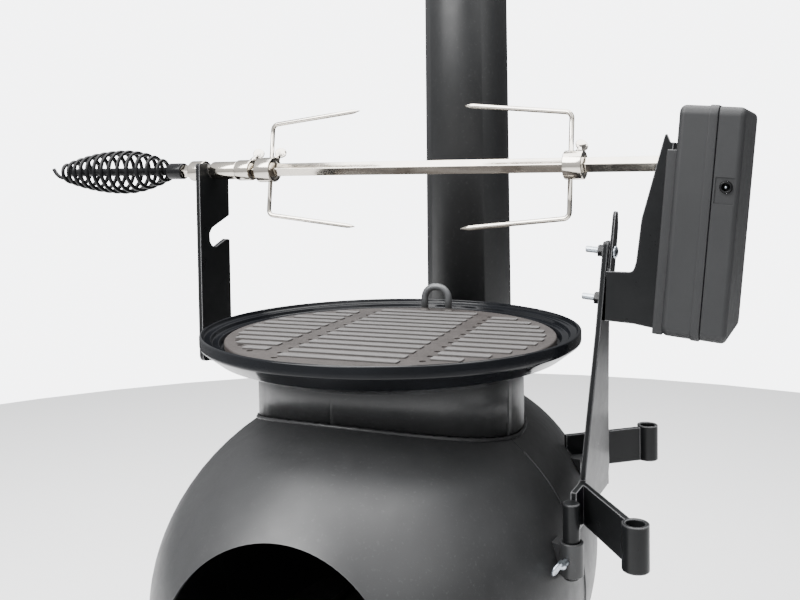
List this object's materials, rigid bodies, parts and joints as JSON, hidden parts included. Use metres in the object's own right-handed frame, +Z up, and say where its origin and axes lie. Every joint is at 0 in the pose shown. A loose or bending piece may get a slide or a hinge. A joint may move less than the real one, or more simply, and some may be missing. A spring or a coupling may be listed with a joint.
{
  "type": "rotisserie spit roaster",
  "caption": "Pot-belly wood stove with dish, grill plate and flue, and a motor-driven square spit with sliding forks and a coil handle carried on side supports.",
  "frame": {"origin": "centre of the bottom of the bounding box, on the ground under the feet", "axes": "+Z up, +X along the spit from the coil handle to the motor, -Y towards the fire mouth, +Y towards the flue"},
  "size_m": [0.7912, 0.5734, 1.265],
  "materials": {
    "stove_paint": "satin black high-temperature paint",
    "enamel": "gloss black vitreous enamel",
    "cast_iron": "seasoned, slightly grainy",
    "frame_black": "semi-gloss black paint",
    "chrome": "bright plated",
    "zinc": "bright zinc plated",
    "black_wire": "gloss black",
    "moulded": "dark grey, fine texture",
    "nylon": "natural moulded gear plastic",
    "brass": "machined",
    "rubber": "matt"
  },
  "bodies": {
    "stove": {"front_dome": "stove_paint", "rear_dome": "stove_paint", "neck_ring": "stove_paint", "leg_socket_front_left": "stove_paint", "leg_front_left": "stove_paint", "foot_front_left": "rubber", "leg_socket_front_right": "stove_paint", "leg_front_right": "stove_paint", "foot_front_right": "rubber", "leg_socket_rear_left": "stove_paint", "leg_rear_left": "stove_paint", "foot_rear_left": "rubber", "leg_socket_rear_right": "stove_paint", "leg_rear_right": "stove_paint", "foot_rear_right": "rubber", "flue_collar": "stove_paint", "flue_lower": "stove_paint", "flue_upper": "stove_paint", "post_plate": "frame_black", "motor_bracket": "frame_black", "bracket_bolt_upper": "zinc", "bracket_nut_upper": "frame_black", "bracket_bolt_lower": "zinc", "bracket_nut_lower": "frame_black", "motor_front_shell": "moulded", "motor_rear_cover": "moulded", "dc_inlet": "moulded", "gearbox_plate": "zinc", "drive_motor": "zinc", "front_post_socket": "stove_paint", "rear_rest": "stove_paint", "left_support_socket": "stove_paint", "left_support_plate": "frame_black", "front_arm": "frame_black", "rear_arm": "frame_black", "front_post_peg": "frame_black"},
    "drive": {"drive_socket": "zinc", "output_gear": "nylon"},
    "idler": {"idler_gear": "nylon"},
    "pinion": {"motor_pinion": "brass"},
    "spit": {"spit_rod": "chrome", "spit_bushing": "chrome", "stop_collar": "chrome", "handle_coil": "black_wire", "handle_ferrule": "black_wire"},
    "stop_screw": {"stop_collar_screw": "chrome"},
    "left_fork": {"fork_left": "chrome"},
    "left_fork_screw": {"fork_left_screw": "chrome"},
    "right_fork": {"fork_right": "chrome"},
    "right_fork_screw": {"fork_right_screw": "chrome"},
    "post_screw": {"front_post_thumb_screw": "zinc"},
    "support_screw": {"left_support_thumb_screw": "zinc"},
    "cooking_dish": {"dish": "enamel"},
    "grill": {"grill_plate": "cast_iron", "lifting_loop": "cast_iron"},
    "grate": {"fire_grate": "cast_iron"},
    "cap": {"flue_cap": "stove_paint"}
  },
  "joints": [
    {"name": "drive_spin", "type": "hinge", "parent": "stove", "child": "drive", "pos_m": [0.34366, -0.03468, 0.79428], "axis": [0.9962, 0, -0.0872], "continuous": true},
    {"name": "idler_spin", "type": "hinge", "parent": "stove", "child": "idler", "pos_m": [0.3482, -0.03468, 0.75434], "axis": [0.9962, 0, -0.0872], "continuous": true},
    {"name": "pinion_spin", "type": "hinge", "parent": "stove", "child": "pinion", "pos_m": [0.35109, -0.03468, 0.71855], "axis": [0.9962, 0, -0.0872], "continuous": true},
    {"name": "spit_spin", "type": "hinge", "parent": "stove", "child": "spit", "pos_m": [0.061, -0.03468, 0.795], "axis": [1, 0, 0], "continuous": true},
    {"name": "stop_screw_turn", "type": "hinge", "parent": "spit", "child": "stop_screw", "pos_m": [-0.1095, -0.0268, 0.80116], "axis": [0, 0.788, 0.6157], "range_deg": [0, 180]},
    {"name": "left_fork_slide", "type": "slide", "parent": "spit", "child": "left_fork", "axis": [1, 0, 0], "range_m": [0, 0.05]},
    {"name": "left_fork_screw_turn", "type": "hinge", "parent": "left_fork", "child": "left_fork_screw", "pos_m": [-0.081, -0.0268, 0.80116], "axis": [0, 0.788, 0.6157], "range_deg": [0, 180]},
    {"name": "right_fork_slide", "type": "slide", "parent": "spit", "child": "right_fork", "axis": [1, 0, 0], "range_m": [-0.05, 0]},
    {"name": "right_fork_screw_turn", "type": "hinge", "parent": "right_fork", "child": "right_fork_screw", "pos_m": [0.248, -0.0268, 0.80116], "axis": [0, 0.788, 0.6157], "range_deg": [0, 180]},
    {"name": "post_screw_turn", "type": "hinge", "parent": "stove", "child": "post_screw", "pos_m": [0.25904, -0.11049, 0.47], "axis": [-0.1961, -0.9806, 0], "range_deg": [0, 180]},
    {"name": "support_screw_turn", "type": "hinge", "parent": "stove", "child": "support_screw", "pos_m": [-0.09766, -0.01468, 0.574], "axis": [-0.866, 0.5, 0], "range_deg": [0, 180]},
    {"name": "dish_lift", "type": "slide", "parent": "stove", "child": "cooking_dish", "axis": [0, 0, 1], "range_m": [0, 0.03]},
    {"name": "grill_lift", "type": "slide", "parent": "cooking_dish", "child": "grill", "axis": [0, 0, 1], "range_m": [0, 0.03]},
    {"name": "grate_lift", "type": "slide", "parent": "stove", "child": "grate", "axis": [0, 0, 1], "range_m": [0, 0.03]},
    {"name": "cap_lift", "type": "slide", "parent": "stove", "child": "cap", "axis": [0, 0, 1], "range_m": [0, 0.028]}
  ],
  "couplings": [
    {"joint": "idler_spin", "follows": "drive_spin", "ratio": -3.3333},
    {"joint": "pinion_spin", "follows": "drive_spin", "ratio": 11.25},
    {"joint": "spit_spin", "follows": "drive_spin", "ratio": 1}
  ]
}
